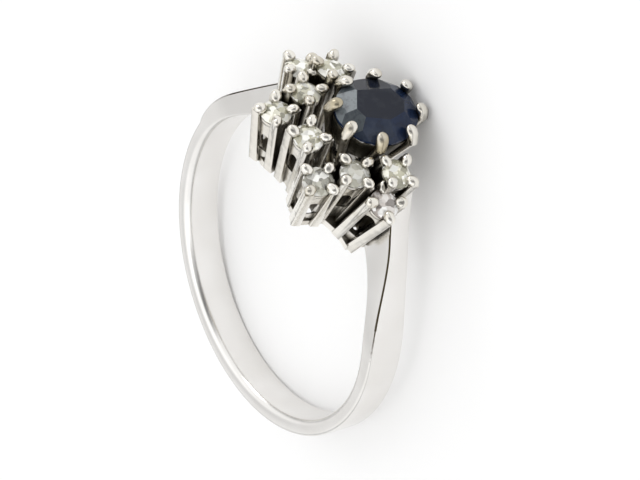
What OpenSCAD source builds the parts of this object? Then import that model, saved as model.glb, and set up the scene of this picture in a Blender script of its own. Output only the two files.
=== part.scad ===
// Cluster ring: an oval sapphire in eight claws, with nine diamonds in
// four-claw baskets fanned out on one side of it, on a plain band whose
// shoulders rise to the head. It lies on its side, as it comes to rest.
//
// The parts are drawn in the ring's own frame, with the finger along Y and
// the head towards +Z, and laid down at the end. Millimetres.

/* [Band] */
// Inside diameter, where the finger goes
finger_d = 17; // [16.6:0.1:17.4]
// Width of the band along the finger
band_w = 2.05; // [1.9:0.05:2.2]
// Thickness of the band below its shoulders
band_t = 0.95; // [0.85:0.05:1.1]
// Angle from the band's lowest point at which a shoulder leaves the round
shoulder_at = 121; // [120:1:124]
// Height of a shoulder's end above the middle of the finger
shoulder_top = 12; // [11.4:0.1:12.2]
// How far a shoulder's front face has moved back at its top
shoulder_back = 1.1; // [0.9:0.05:1.2]

/* [Sapphire] */
// Width of the sapphire across the finger
sapphire_w = 4.28; // [4.2:0.02:4.34]
// Length of the sapphire along the finger
sapphire_l = 4.76; // [4.6:0.02:4.84]
// Height of the top of its girdle above the middle of the finger
sapphire_z = 13.52; // [13.5:0.01:13.56]
// How far the sapphire sits behind the middle of the band
sapphire_y = 0.6; // [0.5:0.05:0.7]
// Radius of a claw's rounded end on the sapphire
claw_r = 0.36; // [0.33:0.01:0.37]

/* [Diamonds] */
// Diameter of a diamond
diamond_d = 1.7; // [1.6:0.02:1.72]
// Distance between two neighbouring claws of a basket, at their beads
claw_pitch = 1.38; // [1.36:0.01:1.42]
// Width of a basket's square claw
claw_w = 0.42; // [0.38:0.01:0.44]
// Radius of the bead on a basket's claw
bead_r = 0.28; // [0.27:0.005:0.285]
// Width of the window in a basket's wall
window_w = 0.56; // [0.5:0.02:0.62]

/* [Hidden] */
$fn = 48;
finger_r = finger_d / 2;
band_r = finger_r + band_t;
gap = 0.03;      // between a stone and the metal that holds it
past = 1;        // how far a cut runs past what it cuts

// How the shoulders lean back on their way up, seen across the finger.
// Columns: height, and how far the front and the rear face have moved back
lean = [
    [4.2, 0, 0],
    [8.4, 0.8 * shoulder_back, 0.1],
    [shoulder_top + past, shoulder_back, 0.45]
];
shoulder_foot_at = 12;   // half the angle left free between the shoulders' feet

// The head's base plate, which every basket stands on
head_clear = 0.12;       // between the finger and the middle of the head's underside
head_flat = 0.6;         // how much flatter the underside's curve is than the finger's
base_t = 0.5;
base_plan = [[0, 1.75], [1.3, 1.7], [3.4, 1.1], [3.9, -0.6], [2.4, -2.5], [1.5, -3.1], [0, -2.5]];

// Every basket leans away from one point, and narrows towards it
fan = [0, -1, -4.5];
claw_len = 5.2;          // from the beads to past the base plate
diamond_drop = 0.34;     // from the beads down to a diamond's girdle

// Baskets on the middle and on the right; those on the right have a mirror twin.
// Columns: across, along the finger, height of the beads, turn of the square,
// and how far below the beads the windows begin and end
middle = [0, -3.45, 13.05, 9, 1.6, 3];
right = [
    [2.4, -3.95, 12.4, -17, 1.7, 3],
    [2.8, -2, 12.9, -25, 1.6, 3],
    [4.75, -1, 12.3, 31, 1.2, 3.7],
    [3.65, 0.1, 13.2, -10, 1.6, 3]
];
function twin(b) = [-b[0], b[1], b[2], -b[3], b[4], b[5]];
// In the order that runs from the left end of the fan to its right end
baskets = [
    for (i = [len(right) - 1 : -1 : 0]) twin(right[i]),
    middle,
    for (b = right) b
];

// The sapphire's claws, by their places on three ellipses
claw_count = 8;
claw_tip = [2.16, 2.46, 14];
claw_knee = [sapphire_w / 2 + 0.3, sapphire_l / 2 + 0.3, 13.45];
claw_foot = [0.9, 1.1, 8.9];
claw_foot_r = 0.2;
claw_neck_r = 0.27;      // where a claw's stem meets its knee
claw_knee_r = 0.32;
claw_bend_r = 0.3;       // from the knee to the rounded end
function on_ellipse(e, a) = [e[0] * cos(a), sapphire_y + e[1] * sin(a), e[2]];
function claw_angle(i) = (i + 0.5) * 360 / claw_count;

// The cut of a round stone, in radii
table_r = 0.57;
star_r = 0.79;
crown_h = 0.3;
girdle_h = 0.05;
lower_r = 0.3;
half = 22.5;
diamond_pavilion = 0.86; // depth below the girdle
sapphire_pavilion = 1.2;

// At rest the two rearmost claws and the band's rear edge touch the surface
rear_knee = on_ellipse(claw_knee, claw_angle(1));
rest_rise = [rear_knee[1] - band_w / 2, rear_knee[2] + band_r];
rest_tilt = atan2(rest_rise[0], rest_rise[1]) + asin(claw_knee_r / norm(rest_rise));

// Turns a part's +Z to point along v
module aim(v) {
    rotate(a = acos(v[2] / norm(v)), v = [-v[1], v[0], 0]) children();
}

// A round part between two points, r1 at the first and r2 at the second
module rod(p, q, r1, r2) {
    translate(p) aim(q - p) cylinder(r1 = r1, r2 = r2, h = norm(q - p));
}

// Puts a part drawn about a basket's beads in that basket's place
module at_basket(b) {
    top = [b[0], b[1], b[2]];
    translate(top) aim(top - fan) rotate([0, 0, b[3]]) children();
}
// How much a basket has narrowed at a depth below its beads
function narrowed(b, depth) = 1 - depth / norm([b[0], b[1], b[2]] - fan);

// Lays the ring down, from its own frame to where it rests on its side
module at_rest() {
    rotate([-rest_tilt, 0, 0]) rotate([-90, 0, 180]) children();
}

// Band and shoulders, seen along the finger
module band_outline() {
    leave = band_r * [sin(shoulder_at), -cos(shoulder_at)];
    run = (shoulder_top - leave[1]) / sin(shoulder_at);
    end = leave + run * [cos(shoulder_at), sin(shoulder_at)];
    foot = (finger_r + base_t) * [sin(shoulder_foot_at), cos(shoulder_foot_at)];
    circle(r = band_r, $fn = 96);
    for (s = [0, 1])
        mirror([s, 0]) polygon([[0, 0], leave, end, foot]);
}

// Band and shoulders, seen across the finger: they lean back on the way up
module band_side() {
    front = -band_w / 2;
    rear = band_w / 2;
    low = -band_r - past;
    polygon(concat(
        [[front, low], [rear, low]],
        [for (row = lean) [rear + row[2], row[0]]],
        [for (i = [len(lean) - 1 : -1 : 0]) [front + lean[i][1], lean[i][0]]]
    ));
}

module band() {
    difference() {
        intersection() {
            rotate([90, 0, 0]) linear_extrude(height = 4 * band_w, center = true) band_outline();
            rotate([90, 0, 90]) linear_extrude(height = 4 * band_r, center = true) band_side();
        }
        rotate([90, 0, 0]) cylinder(r = finger_r, h = 5 * band_w, center = true, $fn = 96);
    }
}

// Curved plate over the finger that joins the baskets and the shoulders, open
// under the sapphire
module base_plate() {
    n = len(base_plan);
    well_r = 0.62;
    intersection() {
        rotate([90, 0, 0]) cylinder(r = finger_r + base_t, h = finger_d, center = true);
        linear_extrude(height = band_r + past) difference() {
            polygon(concat(base_plan, [for (i = [n - 2 : -1 : 1]) [-base_plan[i][0], base_plan[i][1]]]));
            translate([0, sapphire_y]) circle(r = well_r);
        }
    }
}

// Walls and square claws of one basket, without the room for its stone
module basket_body(b) {
    wall_top = 0.55;     // below the beads
    wall_w = claw_pitch + 0.2;
    claw_top = 0.14;
    at_basket(b) mirror([0, 0, 1]) {
        translate([0, 0, wall_top])
            linear_extrude(height = claw_len - wall_top, scale = narrowed(b, claw_len) / narrowed(b, wall_top))
                square(wall_w * narrowed(b, wall_top), center = true);
        translate([0, 0, claw_top])
            linear_extrude(height = claw_len - claw_top, scale = narrowed(b, claw_len) / narrowed(b, claw_top))
                for (x = [-0.5, 0.5], y = [-0.5, 0.5])
                    translate(claw_pitch * [x, y]) square(claw_w, center = true);
    }
}

module basket_beads(b) {
    at_basket(b)
        for (x = [-0.5, 0.5], y = [-0.5, 0.5])
            translate([claw_pitch * x, claw_pitch * y, 0]) sphere(r = bead_r, $fn = 24);
}

// Arched windows through both pairs of a basket's walls
module basket_windows(b) {
    r = window_w / 2;
    at_basket(b)
        for (turn = [0, 90])
            rotate([90, 0, turn]) linear_extrude(height = 3 * claw_pitch, center = true) {
                translate([0, -b[4] - r]) circle(r = r);
                translate([-r, -b[5]]) square([window_w, b[5] - b[4] - r]);
            }
}

// Open well under a diamond, down through the base plate
module basket_well(b) {
    well_r = 0.58;
    at_basket(b) mirror([0, 0, 1]) translate([0, 0, diamond_drop]) cylinder(r = well_r, h = claw_len + past);
}

// Room for a round stone of radius r whose girdle's top is at height z
module stone_room(r, z) {
    translate([0, 0, z]) rotate_extrude() polygon([
        [0, -r * (girdle_h + diamond_pavilion) - 2 * gap],
        [r + gap, -r * girdle_h - gap],
        [r + gap, gap],
        [r * table_r + gap, r * crown_h + gap],
        [0, r * crown_h + gap]
    ]);
}

// Eight claws of the sapphire, with a collar under its girdle and a rail below
module sapphire_claws() {
    collar_z = 13.15;
    collar_h = 1.6;
    rail_z = 10.4;
    rail_h = 0.4;
    for (i = [0 : claw_count - 1]) {
        foot = on_ellipse(claw_foot, claw_angle(i));
        knee = on_ellipse(claw_knee, claw_angle(i));
        tip = on_ellipse(claw_tip, claw_angle(i));
        rod(foot, knee, claw_foot_r, claw_neck_r);
        translate(knee) sphere(r = claw_knee_r, $fn = 24);
        rod(knee, tip, claw_bend_r, claw_bend_r);
        translate(tip) sphere(r = claw_r, $fn = 24);
    }
    sapphire_band(collar_z, collar_h);
    sapphire_band(rail_z, rail_h);
}

// A band around the inside of the claws, from height z down, narrowing with them
module sapphire_band(z, h) {
    wall = 0.26;
    function along_claw(z) = claw_foot + (z - claw_foot[2]) / (claw_knee[2] - claw_foot[2]) * (claw_knee - claw_foot);
    top = along_claw(z) - [claw_neck_r, claw_neck_r, 0] / 2;
    low = along_claw(z - h) - [claw_neck_r, claw_neck_r, 0] / 2;
    translate([0, sapphire_y, z]) mirror([0, 0, 1])
        linear_extrude(height = h, scale = low[0] / top[0]) difference() {
            oval(top[0], top[1]);
            oval(top[0] - wall, top[1] - wall);
        }
}

module oval(a, b) {
    n = 32;
    polygon([for (i = [0 : n - 1]) [a * cos(i * 360 / n), b * sin(i * 360 / n)]]);
}

// Cut stone with table, stars, kites and girdle facets. w and l are its width and
// length, r and depth set its heights, and the top of its girdle is at height 0.
module cut_stone(w, l, r, depth) {
    slope = crown_h / (1 - table_r);
    star_z = crown_h - slope * (star_r * cos(half) - table_r);
    lower_z = -girdle_h - depth * (1 - lower_r * cos(half));
    function loop(n, from, radius, z) =
        [for (i = [0 : n - 1]) let (a = from + i * 360 / n) [w / 2 * radius * cos(a), l / 2 * radius * sin(a), r * z]];
    points = concat(
        loop(8, 0, table_r, crown_h),
        loop(8, half, star_r, star_z),
        loop(16, 0, 1, 0),
        loop(16, 0, 1, -girdle_h),
        loop(8, half, lower_r, lower_z),
        [[0, 0, -r * (girdle_h + depth)]]
    );
    star = 8;
    top = 16;
    low = 32;
    lower = 48;
    culet = 56;
    eighth = [0 : 7];
    faces = concat(
        [[for (k = [7 : -1 : 0]) k]],
        [for (k = eighth) [(k + 1) % 8, star + k, k]],
        [for (k = eighth) [star + k, top + 2 * k, star + (k + 7) % 8, k]],
        [for (k = eighth) [star + k, top + 2 * k + 1, top + 2 * k]],
        [for (k = eighth) [star + k, top + (2 * k + 2) % 16, top + 2 * k + 1]],
        [for (j = [0 : 15]) [top + (j + 1) % 16, low + (j + 1) % 16, low + j, top + j]],
        [for (k = eighth) [low + 2 * k + 1, lower + k, low + 2 * k]],
        [for (k = eighth) [low + (2 * k + 2) % 16, lower + k, low + 2 * k + 1]],
        [for (k = eighth) [lower + k, culet, lower + (k + 7) % 8, low + 2 * k]]
    );
    polyhedron(points = points, faces = faces);
}

// Room for the oval sapphire, as its own outline grown by the gap
module sapphire_room() {
    grow = 1 + 2 * gap / sapphire_w;
    for (shift = [-gap, gap])
        translate([0, sapphire_y, sapphire_z + shift])
            cut_stone(sapphire_w * grow, sapphire_l * grow, sapphire_w / 2 * grow, sapphire_pavilion);
}

// Base plate, claws and baskets, with the hollow of the head over the finger
module head() {
    difference() {
        union() {
            base_plate();
            sapphire_claws();
            for (b = baskets) {
                difference() {
                    basket_body(b);
                    basket_windows(b);
                }
                basket_beads(b);
            }
        }
        translate([0, 0, -head_flat]) rotate([90, 0, 0])
            cylinder(r = finger_r + head_clear + head_flat, h = 2 * finger_d, center = true, $fn = 96);
    }
}

// All the soldered metal, in the ring's own frame
module metal() {
    difference() {
        union() {
            band();
            head();
        }
        for (b = baskets) {
            basket_well(b);
            at_basket(b) stone_room(diamond_d / 2, -diamond_drop);
        }
        sapphire_room();
    }
}

module ring() {
    color("#e4dfdb") at_rest() metal();
}

module sapphire() {
    color("#1c2238") at_rest() translate([0, sapphire_y, sapphire_z])
        cut_stone(sapphire_w, sapphire_l, sapphire_w / 2, sapphire_pavilion);
}

module diamond(i) {
    color("#dfe2d2") at_rest() at_basket(baskets[i - 1]) translate([0, 0, -diamond_drop])
        cut_stone(diamond_d, diamond_d, diamond_d / 2, diamond_pavilion);
}

ring();
sapphire();
for (i = [1 : len(baskets)])
    diamond(i);
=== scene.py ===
import math
import random

import bmesh
import bpy
from mathutils import Matrix, Vector


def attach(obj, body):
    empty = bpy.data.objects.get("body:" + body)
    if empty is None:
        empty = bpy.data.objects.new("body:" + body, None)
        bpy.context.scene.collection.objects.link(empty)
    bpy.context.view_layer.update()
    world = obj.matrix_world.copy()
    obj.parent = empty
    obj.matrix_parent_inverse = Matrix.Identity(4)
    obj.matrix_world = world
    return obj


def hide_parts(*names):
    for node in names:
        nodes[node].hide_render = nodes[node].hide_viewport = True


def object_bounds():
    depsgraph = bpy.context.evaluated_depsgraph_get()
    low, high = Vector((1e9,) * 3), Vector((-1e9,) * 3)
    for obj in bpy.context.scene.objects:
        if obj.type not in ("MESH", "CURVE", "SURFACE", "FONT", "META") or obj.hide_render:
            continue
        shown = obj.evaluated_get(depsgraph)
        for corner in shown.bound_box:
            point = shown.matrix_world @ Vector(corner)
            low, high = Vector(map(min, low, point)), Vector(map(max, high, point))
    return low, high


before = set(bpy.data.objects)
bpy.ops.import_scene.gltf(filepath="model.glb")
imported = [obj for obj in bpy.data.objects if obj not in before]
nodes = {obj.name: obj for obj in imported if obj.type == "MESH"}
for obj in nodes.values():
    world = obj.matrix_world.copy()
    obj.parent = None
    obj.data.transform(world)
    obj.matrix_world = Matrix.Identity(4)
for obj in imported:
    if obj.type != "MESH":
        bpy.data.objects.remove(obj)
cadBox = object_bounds()
print("frame loaded:", len(nodes), "nodes")

# Everything is worked out in millimetres in the ring's own frame: X across the ring,
# Y along the finger, Z up to the head. It is laid down and scaled to metres at the end.
laidDown = {
    "tilt": 5.915,   # degrees that the finger hole's axis leans at rest
    "scale": 0.001,
}
ringToRow = (
    Matrix.Scale(laidDown["scale"], 4)
    @ Matrix.Rotation(math.radians(-laidDown["tilt"]), 4, "X")
    @ Matrix.Rotation(math.radians(180), 4, "Z")
    @ Matrix.Rotation(math.radians(-90), 4, "X")
)
headMiddle = 0.6        # of the sapphire and its setting, along the finger
weldDistance = 0.0005   # points this close together become one


# Selecting, shaping and finishing

def dropAll():
    if bpy.context.object and bpy.context.object.mode != "OBJECT":
        bpy.ops.object.mode_set(mode="OBJECT")
    bpy.ops.object.select_all(action="DESELECT")


def takeUp(piece):
    dropAll()
    piece.select_set(True)
    bpy.context.view_layer.objects.active = piece
    return piece


def pickVerts(test):
    mesh = bmesh.from_edit_mesh(bpy.context.object.data)
    for v in mesh.verts:
        v.select = bool(test(v.co))
    mesh.select_flush_mode()
    bmesh.update_edit_mesh(bpy.context.object.data)


def pickEdges(test):
    mesh = bmesh.from_edit_mesh(bpy.context.object.data)
    for e in mesh.edges:
        e.select = False
    chosen = [e for e in mesh.edges if test(e.verts[0].co, e.verts[1].co)]
    for e in chosen:
        e.select = True
    mesh.select_flush_mode()
    bmesh.update_edit_mesh(bpy.context.object.data)
    return len(chosen)


# Pulls a circle through rows of (x, y, z, radius in x, radius in y)
def loft(name, rows, points=32, turn=0.0, closed=True):
    dropAll()
    fill = "NGON" if closed else "NOTHING"
    bpy.ops.mesh.primitive_circle_add(vertices=points, radius=1, fill_type=fill)
    piece = bpy.context.object
    piece.name = name
    bpy.ops.object.mode_set(mode="EDIT")
    bpy.ops.mesh.select_all(action="SELECT")
    if turn:
        bpy.ops.transform.rotate(value=-math.radians(turn), orient_axis="Z", center_override=(0, 0, 0))
    x, y, z, rx, ry = rows[0]
    bpy.ops.transform.resize(value=(rx, ry, 1), center_override=(0, 0, 0))
    bpy.ops.transform.translate(value=(x, y, z))
    for last, row in zip(rows, rows[1:]):
        step = Vector(row[:3]) - Vector(last[:3])
        bpy.ops.mesh.extrude_region_move(TRANSFORM_OT_translate={"value": step})
        bpy.ops.transform.resize(value=(row[3] / last[3], row[4] / last[4], 1), center_override=row[:3])
    bpy.ops.mesh.select_all(action="SELECT")
    bpy.ops.mesh.remove_doubles(threshold=weldDistance)
    bpy.ops.mesh.normals_make_consistent(inside=False)
    bpy.ops.object.mode_set(mode="OBJECT")
    return piece


# A closed ring: the rows go round its section once, and back to the first
def hoop(name, rows, points):
    return loft(name, rows + rows[:1], points, closed=False)


def beveled(piece, offset, segments, test):
    takeUp(piece)
    bpy.ops.object.mode_set(mode="EDIT")
    bpy.ops.mesh.select_mode(type="EDGE")
    if pickEdges(test):
        bpy.ops.mesh.bevel(offset=offset, segments=segments, profile=0.5, affect="EDGES", clamp_overlap=True)
    bpy.ops.mesh.select_mode(type="VERT")
    bpy.ops.object.mode_set(mode="OBJECT")
    return piece


def joined(name, parts):
    dropAll()
    for part in parts:
        part.select_set(True)
    bpy.context.view_layer.objects.active = parts[0]
    bpy.ops.object.join()
    piece = bpy.context.object
    piece.name = name
    return piece


# Cuts the piece with a tool, which is used up
def carved(piece, tool, operation="DIFFERENCE", selfCross=False):
    takeUp(piece)
    step = piece.modifiers.new("carve", "BOOLEAN")
    step.object = tool
    step.operation = operation
    step.solver = "EXACT"
    step.use_self = selfCross
    bpy.ops.object.modifier_apply(modifier=step.name)
    bpy.data.objects.remove(tool)
    return piece


def copied(piece, name):
    twin = piece.copy()
    twin.data = piece.data.copy()
    twin.name = name
    bpy.context.collection.objects.link(twin)
    return twin


def moved(piece, matrix):
    takeUp(piece)
    piece.matrix_world = matrix
    bpy.ops.object.transform_apply(location=True, rotation=True, scale=True)
    return piece


# Gives the piece its materials, with the second one on the faces that pass the test
def dressed(piece, materials, test=None):
    for material in materials:
        piece.data.materials.append(material)
    if test:
        takeUp(piece)
        bpy.ops.object.mode_set(mode="EDIT")
        mesh = bmesh.from_edit_mesh(piece.data)
        for face in mesh.faces:
            face.select = bool(test(face.calc_center_median()))
        bmesh.update_edit_mesh(piece.data)
        piece.active_material_index = 1
        bpy.ops.object.material_slot_assign()
        bpy.ops.object.mode_set(mode="OBJECT")
    return piece


# Lays the piece down, smooths it, and hands it to the frame
def finished(piece, smoothAngle=35.0, node="ring"):
    moved(piece, ringToRow)
    bpy.ops.object.mode_set(mode="EDIT")
    bpy.ops.mesh.select_all(action="SELECT")
    bpy.ops.mesh.normals_make_consistent(inside=False)
    bpy.ops.object.mode_set(mode="OBJECT")
    if smoothAngle:
        bpy.ops.object.shade_smooth_by_angle(angle=math.radians(smoothAngle))
    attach(piece, "root")
    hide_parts(node)
    print("made", piece.name, len(piece.data.polygons), "faces")
    return piece


# Materials

# A shader socket that takes part in ordinary arithmetic
class Wire:
    def __init__(self, finish, socket):
        self.finish = finish
        self.socket = socket

    def math(self, operation, first, second):
        return self.finish.node("ShaderNodeMath", {"operation": operation}, first, second)

    def __add__(self, other):
        return self.math("ADD", self, other)

    def __sub__(self, other):
        return self.math("SUBTRACT", self, other)

    def __rsub__(self, other):
        return self.math("SUBTRACT", other, self)

    def __mul__(self, other):
        return self.math("MULTIPLY", self, other)

    __radd__ = __add__
    __rmul__ = __mul__


# One node tree, which gets a node for each call
class Finish:
    def __init__(self, name, owner=None):
        self.owner = owner or bpy.data.materials.new(name)
        self.owner.use_nodes = True
        self.tree = self.owner.node_tree
        self.tree.nodes.clear()

    def node(self, kind, settings=None, *values, out=0, stops=None, **named):
        made = self.tree.nodes.new(kind)
        for key, value in (settings or {}).items():
            setattr(made, key, value)
        if stops:
            ramp = made.color_ramp
            while len(ramp.elements) < len(stops):
                ramp.elements.new(0.5)
            for element, (place, colour) in zip(ramp.elements, stops):
                element.position = place
                element.color = (*colour, 1)
        sockets = list(enumerate(values))
        sockets += [(key.replace("_", " "), value) for key, value in named.items()]
        for place, value in sockets:
            self.join(value, made.inputs[place])
        return Wire(self, made.outputs[out])

    def join(self, value, socket):
        if isinstance(value, Wire):
            self.tree.links.new(value.socket, socket)
        elif value is not None:
            colour = socket.type == "RGBA" and len(value) == 3
            socket.default_value = (*value, 1) if colour else value

    # Mixes two colours, which are the seventh and eighth sockets of the node
    def mix(self, share, first, second):
        between = [None] * 5
        return self.node("ShaderNodeMix", {"data_type": "RGBA"}, share, *between, first, second, out=2)

    def vector(self, operation, *values, out=0):
        return self.node("ShaderNodeVectorMath", {"operation": operation}, *values, out=out)

    # Stretches a value from low and high to 0 and 1, and cuts off the rest
    def between(self, value, low, high):
        return self.node("ShaderNodeMapRange", {"clamp": True}, value, low, high, 0.0, 1.0)

    def noise(self, place, scale, detail=3.0, rough=0.55):
        return self.node("ShaderNodeTexNoise", None, place, Scale=scale, Detail=detail, Roughness=rough)

    # Object coordinates
    def place(self):
        return self.node("ShaderNodeTexCoord", out=3)

    def surface(self, wire, kind="ShaderNodeOutputMaterial"):
        self.tree.links.new(wire.socket, self.tree.nodes.new(kind).inputs[0])
        return self.owner


whiteGold = {
    "cool": ((0.88, 0.865, 0.845), (0.78, 0.76, 0.73)),    # on the band, bright and dull
    "warm": ((0.87, 0.845, 0.79), (0.74, 0.705, 0.63)),    # on the head
    "worn": (0.47, 0.415, 0.30),        # yellower gold where the plating has worn off
    "patinaAndShade": (0.062, 0.050, 0.030),    # patina in the recesses, and the colour of the painted shade in them and along the crisp edge
    "olive": (0.12, 0.115, 0.09),       # painted shade inside the settings, in a dark olive
    "roughness": 0.15,
    "roughSpread": 0.14,                # how much the grain changes it
    "shadeRoughness": 0.3,               # what the painted shade and the patina add to it
    # clouds, worn patches, hammer marks, specks that break up the painted edge shade, and grain: how many to
    # a metre
    "clouds": 240.0, "patches": 420.0, "hammering": 1500.0, "lineBreaks": 2600.0, "grain": 5200.0,
    # where each colour begins and is full, on the noise or the openness that it follows
    "dullFrom": (0.35, 0.75), "wornFrom": (0.68, 0.9), "patinaAndShadeFrom": (0.72, 0.28),
    "oliveFrom": (1.1, 0.5), "leastOlive": 0.7,
    # the painted shade line on the crisp edge: where it begins and is full, then where it comes in towards
    # the head
    "edgeLineFrom": (0.62, 0.95),
    "edgeLineAlong": (0.0022, 0.0075),      # metres from the finger hole's middle towards the head
    "relief": 0.00002,                  # height of the hammering, in metres
}


# How far the ambient occlusion reaches for the recesses' patina and painted shade is given in metres, and
# ripple is how uneven the metal is
def goldFinish(name, patinaShadeReach=0, ripple=0.25, wear=0.0, insideShade=0.0, edgeShadeLine=False, satin=0.0):
    gold = Finish(name)
    place = gold.place()
    cloud = gold.noise(place, whiteGold["clouds"])
    grain = gold.noise(place, whiteGold["grain"], 4.0)
    hammering = gold.noise(place, whiteGold["hammering"], 1.0)
    bright, dull = whiteGold["warm" if patinaShadeReach else "cool"]
    colour = gold.mix(gold.between(cloud, *whiteGold["dullFrom"]), bright, dull)
    if wear:
        patch = gold.noise(place, whiteGold["patches"]) + wear * 0.2
        worn = gold.between(patch, *whiteGold["wornFrom"]) * min(wear, 1.0)
        colour = gold.mix(worn, colour, whiteGold["worn"])
    rough = whiteGold["roughness"] + satin + (grain - 0.5) * whiteGold["roughSpread"]
    # a darker olive copy of the gold: painted shade for faces where light hardly reaches
    if insideShade:
        least = whiteGold["leastOlive"]
        olive = gold.between(cloud + grain * 0.6, *whiteGold["oliveFrom"]) * (1 - least) + least
        colour = gold.mix(olive, colour, whiteGold["olive"])
        rough = rough + insideShade
    if edgeShadeLine:    # painted shade: a dark line along the shoulders' crisp edges for the shadow of a groove there, broken up towards the bottom
        towardsHead = gold.node("ShaderNodeSeparateXYZ", None, place, out=1) * -1.0
        lineBreaks = gold.noise(place, whiteGold["lineBreaks"], 4.0, 0.7) * 0.9
        lineBreaks = lineBreaks + gold.between(towardsHead, *whiteGold["edgeLineAlong"])
        paintedEdgeLine = gold.between(lineBreaks, *whiteGold["edgeLineFrom"])
        colour = gold.mix(paintedEdgeLine, colour, whiteGold["patinaAndShade"])
        rough = rough + paintedEdgeLine * whiteGold["shadeRoughness"]
    # patina in the recesses, deepened by ambient occlusion into painted shade where little light reaches
    if patinaShadeReach:
        openness = gold.node("ShaderNodeAmbientOcclusion", {"samples": 8}, None, patinaShadeReach, out=1)
        shade = gold.between(openness + (grain - 0.5) * 0.25, *whiteGold["patinaAndShadeFrom"])
        colour = gold.mix(shade, colour, whiteGold["patinaAndShade"])
        rough = rough + shade * whiteGold["shadeRoughness"]
    height = hammering * ripple + grain * 0.12
    bump = gold.node("ShaderNodeBump", None, Strength=0.6, Distance=whiteGold["relief"], Height=height)
    return gold.surface(gold.node(
        "ShaderNodeBsdfPrincipled", Base_Color=colour, Metallic=1.0, Roughness=rough, Normal=bump,
    ))


night, deepBlue, slate = (0.010, 0.013, 0.024), (0.010, 0.021, 0.056), (0.205, 0.232, 0.248)
sapphireStone = {
    "slateTowards": (240.0, 33.0),   # the crown facet given a painted reflection of a lamp: azimuth and slope
    "facing": (0.4, 1.0),            # cosines between which the painted reflection tones below are spread
    "tones": (
        (0.0, deepBlue), (0.50, deepBlue), (0.62, (0.030, 0.036, 0.046)), (0.70, night), (0.76, night),
        (0.84, (0.062, 0.074, 0.084)), (0.97, slate),
    ),
    # pale clouds and dark silk: how many to a metre, where they begin and are full, and how strong
    "clouds": 900.0, "cloudFrom": (0.45, 0.8), "cloudShare": 0.14,
    "silk": 3200.0, "silkFrom": (0.48, 0.7), "silkShare": 0.6,
    "roughness": 0.10,
    "roughSpread": 0.12,
}


# A direction in the row's frame, from its azimuth and its slope from straight up in the ring's own
def ringDirection(azimuth, slope):
    a, s = math.radians(azimuth), math.radians(slope)
    along = Vector((math.cos(a) * math.sin(s), math.sin(a) * math.sin(s), math.cos(s)))
    return ringToRow.to_3x3().normalized() @ along


def sapphireFinish():
    stone = Finish("sapphire")
    place = stone.place()
    normal = stone.node("ShaderNodeNewGeometry", out=1)
    # Over the stone's dark blue, the facets' colour is painted reflection, chosen by where each faces: slate
    # towards the lamp, grey and near black elsewhere
    towards = tuple(ringDirection(*sapphireStone["slateTowards"]))
    facing = stone.between(stone.vector("DOT_PRODUCT", normal, towards, out=1), *sapphireStone["facing"])
    tone = stone.node("ShaderNodeValToRGB", None, facing, stops=sapphireStone["tones"])
    cloud = stone.between(stone.noise(place, sapphireStone["clouds"], 4.0, 0.6), *sapphireStone["cloudFrom"])
    silk = stone.noise(place, sapphireStone["silk"], 5.0, 0.7)
    haze = stone.between(silk, *sapphireStone["silkFrom"])
    colour = stone.mix(cloud * sapphireStone["cloudShare"], tone, slate)
    colour = stone.mix(haze * sapphireStone["silkShare"], colour, night)
    rough = sapphireStone["roughness"] + (silk - 0.5) * sapphireStone["roughSpread"]
    return stone.surface(stone.node(
        "ShaderNodeBsdfPrincipled", Base_Color=colour, Roughness=rough, IOR=1.77, Specular_IOR_Level=0.15,
    ))


diamondStone = {
    "shards": 2900.0,       # painted reflections inside the stone, per metre
    "tilt": 1.2,
    "glass": 0.18,
    # how strongly the painted reflections glow
    "glow": 0.25,
    # colour of the painted reflections from dark to light, by the look of the stone, and where each tone
    # stands
    "yellow": ((0.14, 0.13, 0.07), (0.48, 0.46, 0.32), (0.95, 0.93, 0.79), (1.0, 1.0, 0.96)),
    "grey": ((0.08, 0.073, 0.05), (0.26, 0.25, 0.19), (0.50, 0.49, 0.41), (1.0, 1.0, 0.96)),
    "rosy": ((0.12, 0.095, 0.08), (0.36, 0.31, 0.28), (0.62, 0.57, 0.53), (1.0, 1.0, 0.98)),
    "steps": (0.1, 0.3, 0.55, 0.85),
}
diamondLooks = {"diamond_6": "grey", "diamond_7": "grey", "diamond_8": "rosy"}   # the others are yellow


# Facets seen through the stone are shards of painted reflection, each standing for another part of the room,
# and they glow a little
def diamondFinish(look):
    stone = Finish("diamond_" + look)
    place = stone.place()
    normal = stone.node("ShaderNodeNewGeometry", out=1)
    cell = stone.node(
        "ShaderNodeTexVoronoi", {"distance": "MANHATTAN"}, place, Scale=diamondStone["shards"], out=1,
    )
    offMiddle = stone.vector("SUBTRACT", cell, (0.5, 0.5, 0.5))
    tilt = stone.vector("SCALE", offMiddle, None, None, diamondStone["tilt"])
    broken = stone.vector("NORMALIZE", stone.vector("ADD", normal, tilt))
    pick = stone.node("ShaderNodeSeparateXYZ", None, cell, out=1)
    stops = list(zip(diamondStone["steps"], diamondStone[look]))
    tone = stone.node("ShaderNodeValToRGB", None, pick, stops=stops)
    inside = stone.node(
        "ShaderNodeBsdfPrincipled", Base_Color=tone, Metallic=0.4, Roughness=0.14, Normal=broken,
        Emission_Color=tone, Emission_Strength=diamondStone["glow"],
        Coat_Weight=1.0, Coat_IOR=2.2, Coat_Roughness=0.02,
    )
    glass = stone.node(
        "ShaderNodeBsdfPrincipled", Base_Color=(0.97, 0.97, 0.93), Roughness=0.0, IOR=2.42,
        Transmission_Weight=1.0,
    )
    return stone.surface(stone.node("ShaderNodeMixShader", None, diamondStone["glass"], inside, glass))


bandGold = goldFinish("white_gold_band", satin=0.07)
# the head's materials get patina and painted shade in their recesses, from ambient occlusion
settingGold = goldFinish("white_gold_setting", patinaShadeReach=0.0009, ripple=2.0, wear=0.7)
clawGold = goldFinish("white_gold_claws", patinaShadeReach=0.0012, ripple=2.0, wear=1.6, satin=0.08)
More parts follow.
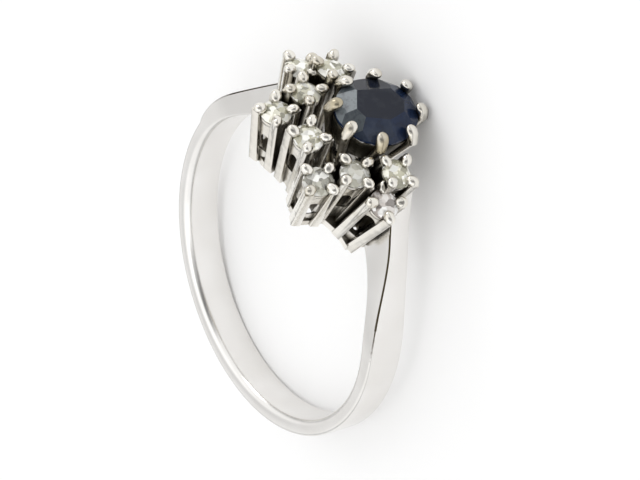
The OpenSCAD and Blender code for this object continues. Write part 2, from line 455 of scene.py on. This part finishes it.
# the crisp edge's material, with the painted shade line
edgeShadeGold = goldFinish("white_gold_edge_shade", edgeShadeLine=True)
# painted shade: a darkened copy of the gold for the wells' depths, the collar and the rail
shadedInnerGold = goldFinish("white_gold_inside_shaded", patinaShadeReach=0.0012, ripple=1.0, insideShade=0.12)
sapphireBlue = sapphireFinish()
print("materials made")


# The band, with its shoulders

band = {
    "fingerRadius": 8.5,
    "thickness": 0.949,
    "width": 2.05,
    "leaves": 121.0,         # degrees from the lowest point where a shoulder leaves the round
    "shoulderTop": 12.0,
    "footAngle": 12.0,
    "baseThickness": 0.5,
    "stations": 240,
    "fuller": 0.02,          # extra thickness at the lowest point
    "swell": 0.30,           # the left shoulder bulges a little on its way up
    "swellFrom": 98.0,       # degrees from the lowest point
    "swellSkew": 0.55,       # below 1 the bulge is fullest low on the shoulder
    # the edges' rounding, and the angles between which the round edges turn crisp
    "roundEdge": 0.46,
    "crispEdge": 0.07,
    "crispBetween": (92.0, 122.0),
    # shares of roundEdge on the lower half of the band
    "outerShare": 0.45, "lowestShare": 0.1, "frontShare": 0.95, "rearShare": 0.06,
    # height, and how far the front and the rear face have moved back
    "lean": ((-20.0, 0.0, 0.0), (3.4, 0.0, 0.0), (9.2, 0.95, 0.14), (13.0, 1.1, 0.45)),
    "edgeShadeAbove": 2.0,        # height from which the crisp edge gets the painted shade line
}


# A value from a table's column, eased between its rows
def eased(table, height, column):
    for low, high in zip(table, table[1:]):
        if height <= high[0]:
            share = max(0.0, (height - low[0]) / (high[0] - low[0]))
            return low[column] + (high[column] - low[column]) * share * share * (3 - 2 * share)
    return table[-1][column]


# Distance from the finger's axis to the outside, at an angle from the lowest point
def outerReach(angle):
    rim = band["fingerRadius"] + band["thickness"]
    base = band["fingerRadius"] + band["baseThickness"]
    leave = math.radians(band["leaves"])
    start = Vector((rim * math.sin(leave), -rim * math.cos(leave)))
    along = Vector((math.cos(leave), math.sin(leave)))
    end = start + along * ((band["shoulderTop"] - start.y) / along.y)
    foot = math.radians(band["footAngle"])
    footPoint = Vector((base * math.sin(foot), base * math.cos(foot)))
    endAngle = 180 - math.degrees(math.atan2(end.x, end.y))
    ray = Vector((math.sin(math.radians(angle)), -math.cos(math.radians(angle))))
    if angle <= band["leaves"]:
        return rim + band["fuller"] * max(0.0, math.cos(math.radians(angle))) ** 2
    if angle >= 180 - band["footAngle"]:
        return base
    first, second = (start, end) if angle <= endAngle else (end, footPoint)
    side = second - first
    return (first.x * side.y - first.y * side.x) / (ray.x * side.y - ray.y * side.x)


def leftSwell(angle):
    share = max(0.0, (angle - band["swellFrom"]) / (180 - band["swellFrom"]))
    return band["swell"] * math.sin(math.pi * share ** band["swellSkew"])


def angleOf(co):
    return abs(math.degrees(math.atan2(co.x, -co.y)))


# How much of roundEdge an edge gets, at an angle from the lowest point
def edgeShare(angle, outside, front):
    low, high = band["crispBetween"]
    fade = min(1.0, max(0.0, (angle - low) / (high - low)))
    crisp = band["crispEdge"] / band["roundEdge"]
    soft = band["frontShare" if front else "rearShare"]
    if outside:
        soft = band["outerShare"] + band["lowestShare"] * max(0.0, math.cos(math.radians(angle))) ** 0.5
    return soft * (1 - fade) + crisp * fade


def onCrispEdge(co):
    rim = band["crispEdge"]
    front = -band["width"] / 2 + eased(band["lean"], co.z, 1)
    edge = outerReach(angleOf(Vector((co.x, co.z)))) - rim
    return co.z > band["edgeShadeAbove"] and co.y < front + rim and math.hypot(co.x, co.z) > edge


def makeBand():
    dropAll()
    inner = band["fingerRadius"]
    halfWay = inner + band["baseThickness"] / 2     # parts the inside's points from the outside's
    bpy.ops.mesh.primitive_circle_add(vertices=band["stations"], radius=inner, fill_type="NOTHING")
    piece = bpy.context.object
    piece.name = "band"
    bpy.ops.object.mode_set(mode="EDIT")
    bpy.ops.mesh.select_all(action="SELECT")
    bpy.ops.mesh.extrude_region_move(TRANSFORM_OT_translate={"value": (0, 0, 0)})
    grow = (inner + band["thickness"]) / inner
    bpy.ops.transform.resize(value=(grow, grow, 1), center_override=(0, 0, 0))
    mesh = bmesh.from_edit_mesh(piece.data)
    for v in mesh.verts:
        if v.co.length > halfWay:
            angle = angleOf(v.co)
            swell = leftSwell(angle) if v.co.x < 0 else 0
            v.co *= (outerReach(angle) + swell) / v.co.length
            v.co.x = max(v.co.x, -inner - band["thickness"])
    bmesh.update_edit_mesh(piece.data)
    bpy.ops.mesh.select_all(action="SELECT")
    bpy.ops.transform.translate(value=(0, 0, -band["width"] / 2))
    bpy.ops.mesh.extrude_region_move(TRANSFORM_OT_translate={"value": (0, 0, band["width"])})
    # the edges that run round the band are rounded
    mesh = bmesh.from_edit_mesh(piece.data)
    weight = mesh.edges.layers.float.new("bevel_weight_edge")
    for e in mesh.edges:
        a, b = (v.co for v in e.verts)
        reaches = [math.hypot(co.x, co.y) for co in (a, b)]
        crossing = min(reaches) < halfWay < max(reaches) or abs(a.z - b.z) > band["width"] / 2
        if not crossing:
            e[weight] = edgeShare(max(angleOf(a), angleOf(b)), min(reaches) > halfWay, a.z > 0)
    # the shoulders lean back on their way up to the sapphire
    for v in mesh.verts:
        v.co.z -= eased(band["lean"], v.co.y, 1 if v.co.z > 0 else 2)
    bmesh.update_edit_mesh(piece.data)
    bpy.ops.mesh.select_all(action="SELECT")
    bpy.ops.mesh.normals_make_consistent(inside=False)
    bpy.ops.object.mode_set(mode="OBJECT")
    step = piece.modifiers.new("edges", "BEVEL")
    step.width = band["roundEdge"]
    step.segments = 5
    step.limit_method = "WEIGHT"
    step.use_clamp_overlap = False
    takeUp(piece)
    bpy.ops.object.modifier_apply(modifier=step.name)
    moved(piece, Matrix.Rotation(math.radians(90), 4, "X"))
    # faces on the crisp edge take the material with the painted shade line
    dressed(piece, [bandGold, edgeShadeGold], onCrispEdge)
    return finished(piece, 30)


makeBand()


# The head's base plate, over the finger

basePlate = {
    "plan": (    # the right half of its outline, from the rear to the front
        (0, 1.9), (1.4, 1.85), (3.5, 1.2), (4.35, -0.4), (4.25, -1.6), (3.5, -1.85),
        (2.7, -2.4), (2.45, -3.85), (1.5, -4.0), (0.8, -3.45), (0, -3.4),
    ),
    "bottom": 6.0, "top": 11.0,    # of the block that it is cut from
    "wellRadius": 0.62,  # under the sapphire
    "clear": 0.12,       # between the finger and the middle of the underside
    "flatter": 0.6,
    "skin": 0.01,        # a face this near to the underside is on it
    "sunk": 0.01,        # below the band's outside
}


# A cutter along the finger
def bore(radius, reach=12.0):
    tool = loft("bore", ((0, 0, -reach, radius, radius), (0, 0, reach, radius, radius)), band["stations"])
    return moved(tool, Matrix.Rotation(math.radians(90), 4, "X"))


def undersideRadius():
    return band["fingerRadius"] + basePlate["clear"] + basePlate["flatter"]


def underside():
    return moved(bore(undersideRadius()), Matrix.Translation((0, 0, -basePlate["flatter"])))


def onUnderside(co):
    return math.hypot(co.x, co.z + basePlate["flatter"]) < undersideRadius() + basePlate["skin"]


def makeBase():
    plan = list(basePlate["plan"])
    plan += [(-x, y) for x, y in reversed(plan[1:-1])]
    bottom, top = basePlate["bottom"], basePlate["top"]
    dropAll()
    bpy.ops.mesh.primitive_circle_add(vertices=len(plan), radius=1, fill_type="NGON")
    piece = bpy.context.object
    piece.name = "head_base"
    bpy.ops.object.mode_set(mode="EDIT")
    mesh = bmesh.from_edit_mesh(piece.data)
    mesh.verts.ensure_lookup_table()
    for v, (x, y) in zip(mesh.verts, plan):
        v.co = (x, y, bottom)
    bmesh.update_edit_mesh(piece.data)
    bpy.ops.mesh.select_all(action="SELECT")
    bpy.ops.mesh.extrude_region_move(TRANSFORM_OT_translate={"value": (0, 0, top - bottom)})
    bpy.ops.mesh.select_all(action="SELECT")
    bpy.ops.mesh.normals_make_consistent(inside=False)
    bpy.ops.object.mode_set(mode="OBJECT")
    carved(piece, bore(band["fingerRadius"] + band["baseThickness"] - basePlate["sunk"]), "INTERSECT")
    carved(piece, underside())
    r = basePlate["wellRadius"]
    carved(piece, loft("well", ((0, headMiddle, bottom - 1, r, r), (0, headMiddle, top + 1, r, r))))
    return piece


headBase = makeBase()


# Diamond baskets

# A diamond, in millimetres, and how much larger its seat is
brilliant = {
    "below": 0.34,       # from the beads down to the girdle
    "radius": 0.85, "table": 0.4845,
    "crown": 0.255, "girdle": 0.0425, "pavilion": 0.731,
    "point": 0.01,       # radius of the seat's lower end
    "gap": 0.02,
}
basket = {
    "pitch": 1.38,       # between two neighbouring claws, at the beads
    "clawWidth": 0.505,
    "clawTop": 0.1,      # below the beads
    "clawSpread": 0.03,  # share by which a claw widens with each millimetre down
    "clawEdge": 0.06,
    "wallWidth": 1.42,
    "wallTop": 0.62,     # below the beads
    "depth": 5.2,
    "wellRadius": 0.6,
    "wellNarrows": 0.8,  # the well's lower end against its upper
    # the rim round the stone: depth and radius of each corner of its section
    "rim": ((0.84, 0.70), (0.74, 0.80), (0.56, 0.84), (0.48, 0.83), (0.46, 0.78), (0.84, 0.56)),
    "window": 0.62,
    "wideWindow": 0.84,  # in the two outermost baskets
    "outermost": (2, 8),
    "through": (4, 6),   # baskets whose windows go right through
    # the two outermost baskets' wells in the base: radius, and how far off the middle
    "drill": (0.22, 0.34),
    "darkBelow": 0.9,    # from here down the well's walls get the painted shade
    "wallSkin": 0.02,    # how far outside the well's walls count as inside
    "fan": Vector((0, -1, -4.5)),    # the point that the baskets fan out from
}
bead = {
    "half": (0.40, 0.32, 0.29),   # half its size: towards the stone, across and up
    "inward": 0.085,
    "lower": 0.05,
    # no two are alike: share of the size, then turns in radians
    "sizes": (0.9, 1.06), "swing": 0.25, "roll": 0.2, "nod": (0.1, 0.35),
    # a hammer mark: its depth, how far it is felt, the cosine of its half angle, and how steep it is
    "dent": 0.025, "dentReach": 0.16, "dentCosine": 0.93, "dentRise": 1.6,
}
# across, along, height of the beads, turn, and where the windows begin and end
rightBaskets = (
    (2.4, -3.95, 12.4, -17, 1.7, 3.0),
    (2.8, -2.0, 12.9, -25, 1.6, 3.0),
    (4.75, -1.0, 12.3, 31, 1.1, 3.6),
    (3.65, 0.1, 13.2, -10, 1.6, 3.0),
)
leftBaskets = tuple((-x, y, z, -turn, top, low) for x, y, z, turn, top, low in reversed(rightBaskets))
baskets = leftBaskets + ((0, -3.45, 13.05, 9, 1.6, 3.0),) + rightBaskets


def basketPlace(row):
    top, turn = Vector(row[:3]), row[3]
    away = (top - basket["fan"]).normalized()
    aim = Vector((0, 0, 1)).rotation_difference(away).to_matrix().to_4x4()
    return Matrix.Translation(top) @ aim @ Matrix.Rotation(math.radians(turn), 4, "Z")


# The share of its width at the beads that a basket has at a depth, as it tapers towards the fan's point
def narrowed(row, depth):
    return 1 - depth / (Vector(row[:3]) - basket["fan"]).length


# A cutter for an arched window, along Y from the middle or the far side to the front
def arch(width, top, low, through, reach=2.0):
    r = width / 2
    drop = low - top - r
    tool = loft("arch", ((0, 0, -reach if through else 0, r, r), (0, 0, reach, r, r)), 24)
    takeUp(tool)
    bpy.ops.object.mode_set(mode="EDIT")
    pickVerts(lambda co: co.y < -0.001 * r)
    bpy.ops.transform.translate(value=(0, -drop, 0))
    bpy.ops.transform.resize(value=(1, 0, 1), center_override=(0, -drop, 0))
    bpy.ops.object.mode_set(mode="OBJECT")
    return moved(tool, Matrix.Translation((0, 0, -top - r)) @ Matrix.Rotation(math.radians(90), 4, "X"))


# A cutter for a well, from under the basket up to its top
def wellTool(r, off, top):
    narrow = r * basket["wellNarrows"]
    return loft("well", ((0, off, -basket["depth"] - 1, narrow, narrow), (0, off, top, r, r)))


# A cutter for a diamond's seat, from its point to its table
def seatTool():
    gap = brilliant["gap"]
    top = -brilliant["below"]
    bottom = top - brilliant["girdle"]
    wide, table = brilliant["radius"] + gap, brilliant["table"] + gap
    point = brilliant["point"]
    return loft("seat", (
        (0, 0, bottom - brilliant["pavilion"] - 2 * gap, point, point), (0, 0, bottom - gap, wide, wide),
        (0, 0, top + gap, wide, wide), (0, 0, top + brilliant["crown"] + gap, table, table),
    ), 48)


# The end of a claw, hammered over the stone's edge
def clawTip(x, y):
    dropAll()
    bpy.ops.mesh.primitive_uv_sphere_add(segments=24, ring_count=14, radius=1)
    tip = takeUp(bpy.context.object)
    tip.scale = [half * random.uniform(*bead["sizes"]) for half in bead["half"]]
    turn = math.atan2(y, x) + random.uniform(-bead["swing"], bead["swing"])
    roll = random.uniform(-bead["roll"], bead["roll"])
    tip.rotation_euler = (roll, -random.uniform(*bead["nod"]), turn)
    reach = basket["pitch"] - 2 * bead["inward"]
    middle = Vector((reach * x, reach * y, -bead["lower"]))
    tip.location = middle
    bpy.ops.object.transform_apply(location=True, rotation=True, scale=True)
    bpy.ops.object.mode_set(mode="EDIT")
    side = random.uniform(0, 2 * math.pi)
    dent = Vector((math.cos(side), math.sin(side), bead["dentRise"])).normalized()
    pickVerts(lambda co: (co - middle).normalized().dot(dent) > bead["dentCosine"])
    bpy.ops.transform.translate(
        value=-bead["dent"] * dent, use_proportional_edit=True,
        proportional_edit_falloff="SMOOTH", proportional_size=bead["dentReach"],
    )
    bpy.ops.object.mode_set(mode="OBJECT")
    return tip


def makeBasket(number, row):
    windowTop, windowLow = row[4:]
    windowWidth = basket["wideWindow" if number in basket["outermost"] else "window"]
    deep, half = basket["depth"], basket["wallWidth"] / 2
    place = basketPlace(row)

    def square(depth):
        reach = half * narrowed(row, depth) * math.sqrt(2)
        return (0, 0, -depth, reach, reach)

    walls = loft("walls", (square(deep), square(basket["wallTop"])), 4, 45)
    carved(walls, wellTool(basket["wellRadius"], 0, 0))
    for turn in (0, 90):
        tool = arch(windowWidth, windowTop, windowLow, number in basket["through"])
        carved(walls, moved(tool, Matrix.Rotation(math.radians(turn), 4, "Z")))
    parts = [walls, hoop("rim", [(0, 0, -depth, r, r) for depth, r in basket["rim"]], 40)]
    for x in (-0.5, 0.5):
        for y in (-0.5, 0.5):
            rows = []
            for depth in (deep, basket["clawTop"]):
                spread = basket["pitch"] * narrowed(row, depth)
                reach = basket["clawWidth"] / 2 * (1 + basket["clawSpread"] * depth) * math.sqrt(2)
                rows.append((x * spread, y * spread, -depth, reach, reach))
            claw = loft("claw", rows, 4, 45)
            beveled(claw, basket["clawEdge"], 2, lambda a, b: abs(a.z - b.z) > 1)
            parts += [claw, clawTip(x, y)]
    piece = joined(f"basket_{number}", parts)
    # both ends are cut in one go, because a second cut can come out otherwise in another run
    under = moved(underside(), place.inverted())
    carved(piece, joined("tools", [seatTool(), under]), selfCross=True)

    # faces deep in the well take the painted shade material
    def inTheWell(co):
        inside = (half - basket["wallSkin"]) * narrowed(row, -co.z)
        low = co.z < -basket["darkBelow"] and not onUnderside(place @ co)
        return low and math.hypot(co.x, co.y) < inside

    dressed(piece, [settingGold, shadedInnerGold], inTheWell)
    return moved(piece, place)


random.seed(7)
for number, row in enumerate(baskets, 1):
    piece = makeBasket(number, row)
    r, off = basket["drill"] if number in basket["outermost"] else (basket["wellRadius"], 0)
    carved(headBase, moved(wellTool(r, off, -1), basketPlace(row)))
    finished(piece)

dressed(headBase, [settingGold])
finished(headBase)


# The sapphire's setting

setting = {
    "count": 8,
    # half width, half length and height of the ovals that the claws pass through
    "foot": (0.9, 1.1, 8.9),
    "knee": (2.44, 2.68, 13.45),
    "tip": (2.16, 2.46, 14.0),
    # share of the way from foot to knee, then from knee to tip, and the claw's radius there
    "upright": ((0, 0.22), (0.6, 0.24), (0.88, 0.26), (0.96, 0.275), (1, 0.30)),
    "bend": ((0.35, 0.33), (0.75, 0.355), (1, 0.355)),
    # how far past the tip, and the radius there
    "end": ((0.11, 0.33), (0.20, 0.27), (0.27, 0.175), (0.30, 0.065)),
    # height, and how far in from the claws' middles, of each corner of the section
    "collar": ((11.6, 0.16), (11.7, 0.12), (13.26, 0.19), (13.35, 0.24), (13.35, 0.42), (11.6, 0.42)),
    "rail": ((10.05, 0.12), (10.1, 0.08), (10.35, 0.08), (10.4, 0.12), (10.4, 0.34), (10.05, 0.34)),
    "wornClaws": (5, 6, 7),
}


def onOval(sizes, angle):
    return Vector((sizes[0] * math.cos(angle), headMiddle + sizes[1] * math.sin(angle), sizes[2]))


def makeClaw(number):
    angle = math.radians((number + 0.5) * 360 / setting["count"])
    foot, knee, tip = (onOval(setting[part], angle) for part in ("foot", "knee", "tip"))
    over = (tip - knee).normalized()
    rows = [(*foot.lerp(knee, share), r, r) for share, r in setting["upright"]]
    rows += [(*knee.lerp(tip, share), r, r) for share, r in setting["bend"]]
    rows += [(*(tip + over * past), r, r) for past, r in setting["end"]]
    claw = loft("claw", rows, 20)
    return dressed(claw, [clawGold if number in setting["wornClaws"] else settingGold])


# The collar or the rail, which follow the claws
def settingHoop(name):
    rows = []
    (footX, footY, footZ), (kneeX, kneeY, kneeZ) = setting["foot"], setting["knee"]
    for height, inset in setting[name]:
        share = (height - footZ) / (kneeZ - footZ)
        x, y = footX + (kneeX - footX) * share, footY + (kneeY - footY) * share
        rows.append((0, headMiddle, height, x - inset, y - inset))
    # the collar and the rail take the painted shade material
    return dressed(hoop(name, rows, 96), [shadedInnerGold])


hoops = [settingHoop("collar"), settingHoop("rail")]
claws = [makeClaw(number) for number in range(setting["count"])]
sapphireSetting = joined("sapphire_setting", hoops + claws)


# The sapphire, cut facet by facet

sapphireCut = {
    "middle": Vector((0, headMiddle, 13.52)),    # at the girdle
    "halfWidth": 2.14, "halfLength": 2.38,
    "crown": 0.64, "girdle": 0.11, "pavilion": 2.57,
    # azimuth of each main crown facet, and its distance from the middle at the table
    "mains": ((15, 1.05), (60, 1.35), (110, 1.35), (168, 1.0), (240, 1.28), (288, 1.32), (338, 0.95)),
    "mainFoot": 0.03,        # height at the girdle
    # the facets between the mains: how far in from the girdle, the height there, and at the girdle
    "kite": (0.40, 0.36, 0.02),
    "pavilionFacets": 16,
    "trim": 0.995,           # where they start, as a share of the oval's reach
    "seatGap": 0.03,
}


# How far the oval reaches towards an azimuth
def support(azimuth):
    a = math.radians(azimuth)
    return math.hypot(sapphireCut["halfWidth"] * math.cos(a), sapphireCut["halfLength"] * math.sin(a))


# Cuts the piece in edit mode along a plane through two heights at one azimuth
def facetCut(azimuth, nearReach, nearHeight, farReach, farHeight):
    a = math.radians(azimuth)
    fall, run = nearHeight - farHeight, farReach - nearReach
    normal = Vector((fall * math.cos(a), fall * math.sin(a), run)).normalized()
    point = Vector((farReach * math.cos(a), farReach * math.sin(a), farHeight))
    bpy.ops.mesh.select_all(action="SELECT")
    bpy.ops.mesh.bisect(plane_co=point, plane_no=normal, use_fill=True, clear_outer=True)


def makeSapphire():
    cut = sapphireCut
    lowest = -cut["girdle"] - cut["pavilion"]
    dropAll()
    bpy.ops.mesh.primitive_cylinder_add(vertices=72, radius=1, depth=cut["crown"] - lowest)
    piece = bpy.context.object
    piece.name = "sapphire_cut"
    bpy.ops.object.mode_set(mode="EDIT")
    bpy.ops.mesh.select_all(action="SELECT")
    bpy.ops.transform.resize(value=(cut["halfWidth"], cut["halfLength"], 1), center_override=(0, 0, 0))
    bpy.ops.transform.translate(value=(0, 0, (cut["crown"] + lowest) / 2))
    for azimuth, reach in cut["mains"]:
        facetCut(azimuth, reach, cut["crown"], support(azimuth), cut["mainFoot"])
    azimuths = [azimuth for azimuth, reach in cut["mains"]]
    inward, high, low = cut["kite"]
    for here, ahead in zip(azimuths, azimuths[1:] + [azimuths[0] + 360]):
        between = (here + ahead) / 2
        far = support(between)
        facetCut(between, far - inward, high, far * cut["trim"], low)
    for number in range(cut["pavilionFacets"]):
        azimuth = (number + 0.5) * 360 / cut["pavilionFacets"]
        a = math.radians(azimuth)
        reach = support(azimuth) * cut["trim"]
        normal = Vector((math.cos(a) * cut["pavilion"], math.sin(a) * cut["pavilion"], -reach)).normalized()
        bpy.ops.mesh.select_all(action="SELECT")
        bpy.ops.mesh.bisect(plane_co=(0, 0, lowest), plane_no=normal, use_fill=True, clear_outer=True)
    bpy.ops.object.mode_set(mode="OBJECT")
    return moved(piece, Matrix.Translation(cut["middle"]))


sapphire = makeSapphire()
seat = copied(sapphire, "seat")
grow = 1 + sapphireCut["seatGap"] / sapphireCut["halfWidth"]
about = sapphireCut["middle"]
moved(seat, Matrix.Translation(about) @ Matrix.Scale(grow, 4) @ Matrix.Translation(-about))
# the cut faces against the stone take the first material, the painted shade
carved(sapphireSetting, seat, selfCross=True)
finished(sapphireSetting)
dressed(sapphire, [sapphireBlue])
finished(sapphire, 0, "sapphire")


# The diamonds keep their cut from the frame

cutDiamond = {look: diamondFinish(look) for look in ("yellow", "grey", "rosy")}
for name, node in nodes.items():
    if name.startswith("diamond"):
        node.data.materials.clear()
        node.data.materials.append(cutDiamond[diamondLooks.get(name, "yellow")])
        node.data.polygons.foreach_set("use_smooth", [False] * len(node.data.polygons))
        node.data.update()
print("diamonds dressed")


# Floor, lights and camera

studio = {
    "floorSize": 2.0,
    "floor": (0.96, 0.96, 0.96),
    "floorGrain": (0.95, 0.95, 0.95),
    "fibres": 400.0,         # to a metre
    "paperGlow": 0.07,
    "world": 1.2,
    # brightness by the sine of the height above the horizon
    "sky": (
        (0.0, 0.30), (0.07, 0.34), (0.17, 0.62), (0.30, 0.84),
        (0.47, 0.88), (0.65, 0.88), (0.85, 1.0), (1.0, 1.05),
    ),
    # what the metal mirrors: its direction, how dark it is, and the cosines where it begins and is full
    "darkSpots": (
        ((-0.412, -0.691, 0.594), 0.8, 0.80, 0.95),     # the camera, in the beads
        ((0.42, 0.537, 0.731), 0.3, 0.86, 0.985),       # a grey card, in the shoulders' fronts
    ),
}

dropAll()
bpy.ops.mesh.primitive_plane_add(size=studio["floorSize"], location=(0, 0, cadBox[0][2]))
floor = bpy.context.object
floor.name = "floor"
paper = Finish("floor_paper")
paperGrain = paper.noise(paper.place(), studio["fibres"], 2.0)
paperColour = paper.mix(paperGrain, studio["floor"], studio["floorGrain"])
floor.data.materials.append(paper.surface(paper.node(
    "ShaderNodeBsdfPrincipled", Base_Color=paperColour, Roughness=0.8,
    Emission_Color=studio["floor"], Emission_Strength=studio["paperGlow"],
)))

world = bpy.data.worlds.new("studio")
bpy.context.scene.world = world
sky = Finish("studio", world)
skyward = sky.node("ShaderNodeTexCoord")
height = sky.node("ShaderNodeSeparateXYZ", None, skyward, out=2)
glow = sky.node("ShaderNodeValToRGB", None, height, stops=[(at, (v, v, v)) for at, v in studio["sky"]])
brightness = studio["world"]
for towards, darkness, edge, full in studio["darkSpots"]:
    facing = sky.vector("DOT_PRODUCT", skyward, towards, out=1)
    brightness = brightness * (1 - darkness * sky.between(facing, edge, full))
sky.surface(sky.node("ShaderNodeBackground", None, glow, brightness), "ShaderNodeOutputWorld")

softboxes = (
    # name, place, size and watts, all aimed at the ring
    ("key", (-0.35, -0.15, 0.45), 0.60, 0.35),
    ("front", (0.42, -0.25, 0.13), 0.16, 0.25),
)
for name, place, size, watts in softboxes:
    lamp = bpy.data.lights.new(name, "AREA")
    lamp.size = size
    lamp.energy = watts
    holder = bpy.data.objects.new(name, lamp)
    bpy.context.collection.objects.link(holder)
    holder.location = place
    holder.rotation_euler = (-Vector(place)).to_track_quat("-Z", "Y").to_euler()

view = {
    "azimuth": 38.4, "elevation": 48.5, "roll": 27.9,   # in the ring's own frame
    "distance": 300.0, "side": 1.73, "lift": 1.30,      # millimetres
    "pixelsPerMm": 18.4, "imageWidth": 640,
    "sensor": 36.0,
}


def makeCamera():
    az, el, roll = (math.radians(view[k]) for k in ("azimuth", "elevation", "roll"))
    back = Vector((math.sin(az) * math.cos(el), -math.cos(az) * math.cos(el), math.sin(el)))
    right = Vector((math.cos(az), math.sin(az), 0))
    up = back.cross(right)
    rightRolled = right * math.cos(roll) + up * math.sin(roll)
    upRolled = up * math.cos(roll) - right * math.sin(roll)
    place = back * view["distance"] + rightRolled * view["side"] + upRolled * view["lift"]
    turn = ringToRow.to_3x3().normalized()
    data = bpy.data.cameras.new("camera")
    camera = bpy.data.objects.new("camera", data)
    bpy.context.collection.objects.link(camera)
    axes = Matrix([turn @ rightRolled, turn @ upRolled, turn @ back]).transposed().to_4x4()
    camera.matrix_world = Matrix.Translation(ringToRow @ place) @ axes
    data.sensor_width = view["sensor"]
    data.lens = view["pixelsPerMm"] * view["distance"] / view["imageWidth"] * view["sensor"]
    data.clip_start = 0.01
    data.clip_end = 10.0
    bpy.context.scene.camera = camera


makeCamera()
bpy.context.scene.view_settings.view_transform = "Standard"
print("camera, floor and lights set")
